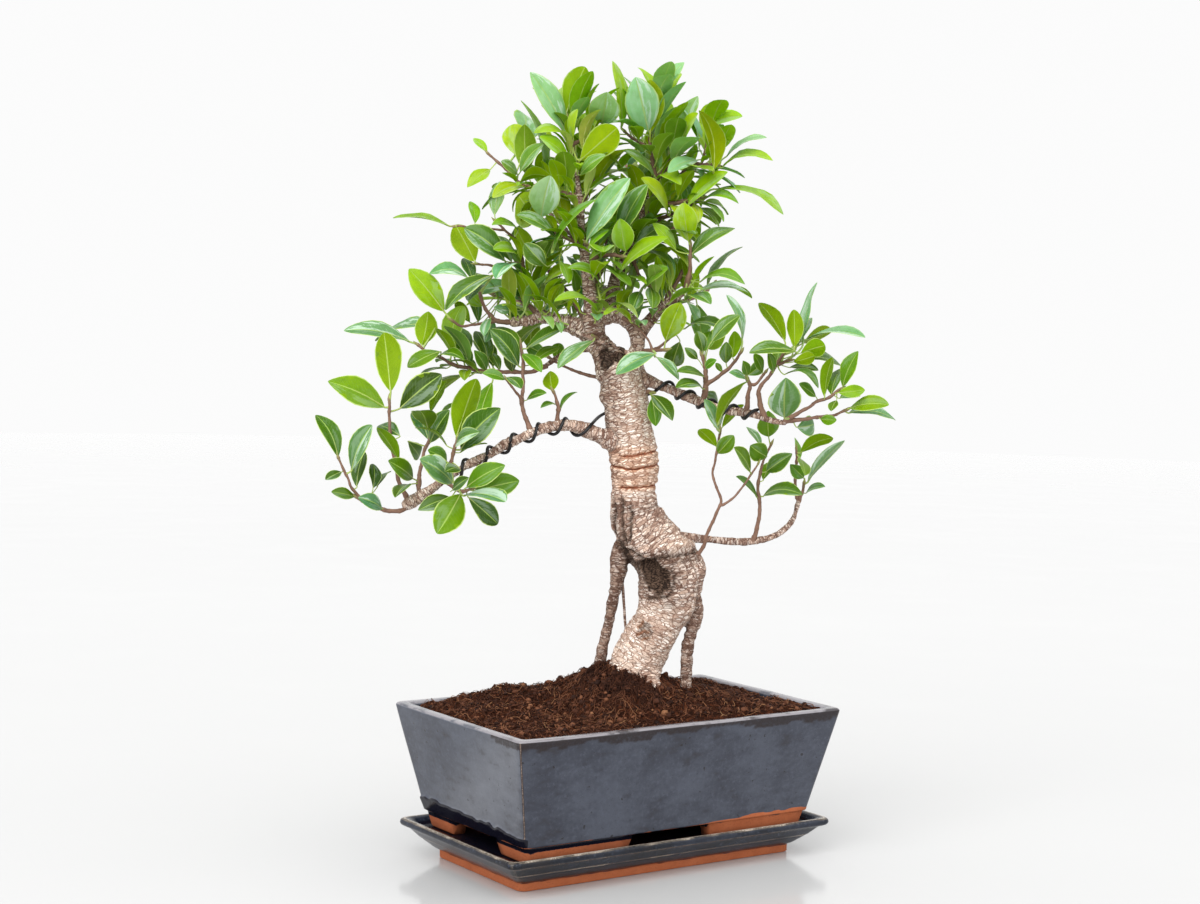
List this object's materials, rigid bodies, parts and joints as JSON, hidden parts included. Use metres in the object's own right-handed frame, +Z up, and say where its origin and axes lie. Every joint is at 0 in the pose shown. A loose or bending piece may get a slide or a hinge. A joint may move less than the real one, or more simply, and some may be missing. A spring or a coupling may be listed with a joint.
{
  "type": "bonsai tree in a pot",
  "caption": "Indoor bonsai fig with a curved trunk, aerial roots, wired side limbs and glossy oval leaves, growing in a glazed rectangular pot on a matching drip tray.",
  "frame": {"origin": "on the table under the middle of the drip tray, at the flat foot that it rests on", "axes": "+Z up, +X along the pot's long side, +Y along its short side; the tree's front looks between -Y and -X, towards the pot's left front corner"},
  "size_m": [0.4563, 0.3509, 0.721],
  "materials": {
    "bark": "rough bark",
    "foliage": "glossy leaf",
    "wire": "black anodised",
    "glazed_pot": "gloss glaze, bare terracotta feet",
    "glazed_tray": "gloss glaze, bare terracotta foot",
    "soil": "loose peat and fibre",
    "screen": "matt"
  },
  "bodies": {
    "root": {"trunk": "bark", "spray_left_tip": "foliage", "spray_left_fan": "foliage", "spray_left_rise": "foliage", "spray_left_bunch": "foliage", "spray_left_skirt": "foliage", "spray_left_twig": "foliage", "spray_left_twiglet": "foliage", "spray_mid_left": "foliage", "spray_mid_left_top": "foliage", "spray_mid_back": "foliage", "spray_fork_left": "foliage", "spray_fork_right": "foliage", "spray_crown_left": "foliage", "spray_crown_left_mid": "foliage", "spray_crown_upper_left": "foliage", "spray_crown_top": "foliage", "spray_crown_top_right": "foliage", "spray_crown_right_top": "foliage", "spray_crown_right": "foliage", "spray_crown_centre": "foliage", "spray_crown_centre_right": "foliage", "spray_under_crown": "foliage", "spray_trunk_side": "foliage", "spray_right_first": "foliage", "spray_right_second": "foliage", "spray_right_third": "foliage", "spray_right_end": "foliage", "spray_low_right_end": "foliage", "spray_low_right_mid": "foliage", "spray_low_right_thin": "foliage", "spray_inner_top": "foliage", "spray_inner_top_right": "foliage", "spray_inner_right_top": "foliage", "spray_inner_left": "foliage", "spray_inner_left_low": "foliage", "spray_inner_right": "foliage", "spray_inner_centre_right": "foliage", "spray_inner_middle": "foliage", "spray_back_low": "foliage", "spray_back_middle": "foliage", "spray_back_left": "foliage", "spray_back_high": "foliage", "spray_back_far_left": "foliage", "spray_back_right": "foliage", "training_wire": "wire", "pot": "glazed_pot", "drip_tray": "glazed_tray", "soil": "soil", "drain_screen_1": "screen", "drain_screen_2": "screen"}
  },
  "joints": []
}
